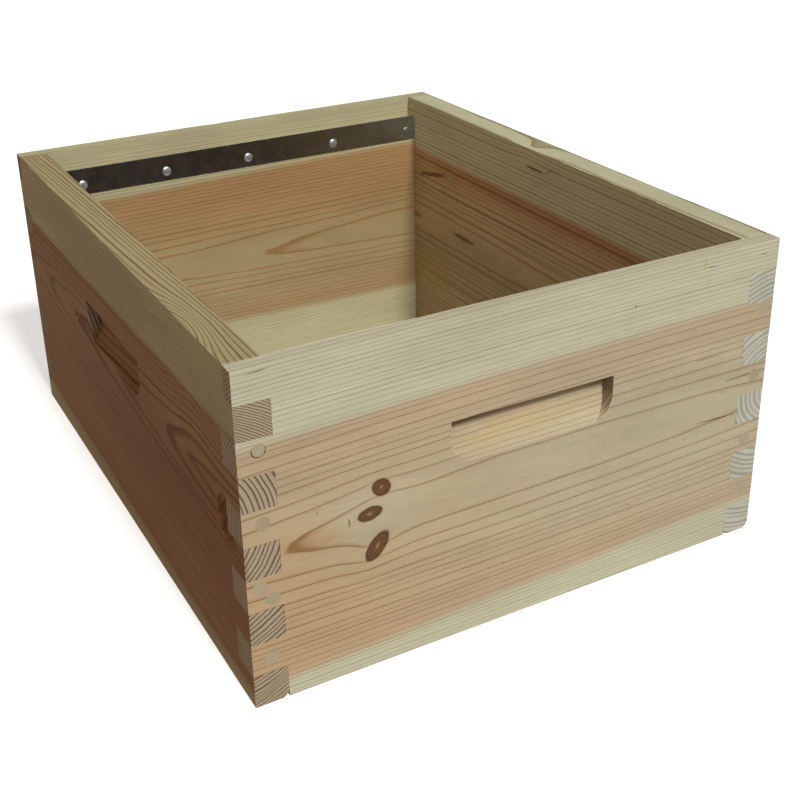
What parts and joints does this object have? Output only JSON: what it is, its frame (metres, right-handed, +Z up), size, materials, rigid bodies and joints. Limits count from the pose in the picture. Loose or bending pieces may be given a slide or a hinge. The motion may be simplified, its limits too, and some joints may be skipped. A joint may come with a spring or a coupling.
{
  "type": "hive body",
  "caption": "Open-ended pine box with finger-jointed corners, scooped hand holds and steel-edged rabbets that hang comb frames in a beehive.",
  "frame": {"origin": "middle of the bottom rim's plane, in the middle of the box", "axes": "+X to the right along the front board, +Y from the front board to the back board, +Z up"},
  "size_m": [0.42, 0.51, 0.243],
  "materials": {
    "pine": "planed, unfinished",
    "galvanised_strip": "dull galvanised",
    "bright_nail": "bright",
    "nail_filler": "sanded putty"
  },
  "bodies": {
    "root": {"front_board": "pine", "back_board": "pine", "left_board": "pine", "right_board": "pine", "front_frame_rest": "galvanised_strip", "back_frame_rest": "galvanised_strip", "front_rest_nails": "bright_nail", "back_rest_nails": "bright_nail", "front_left_corner_nails": "bright_nail", "front_right_corner_nails": "bright_nail", "back_left_corner_nails": "bright_nail", "back_right_corner_nails": "bright_nail", "front_left_nail_fillers": "nail_filler", "front_right_nail_fillers": "nail_filler", "back_left_nail_fillers": "nail_filler", "back_right_nail_fillers": "nail_filler"}
  },
  "joints": []
}
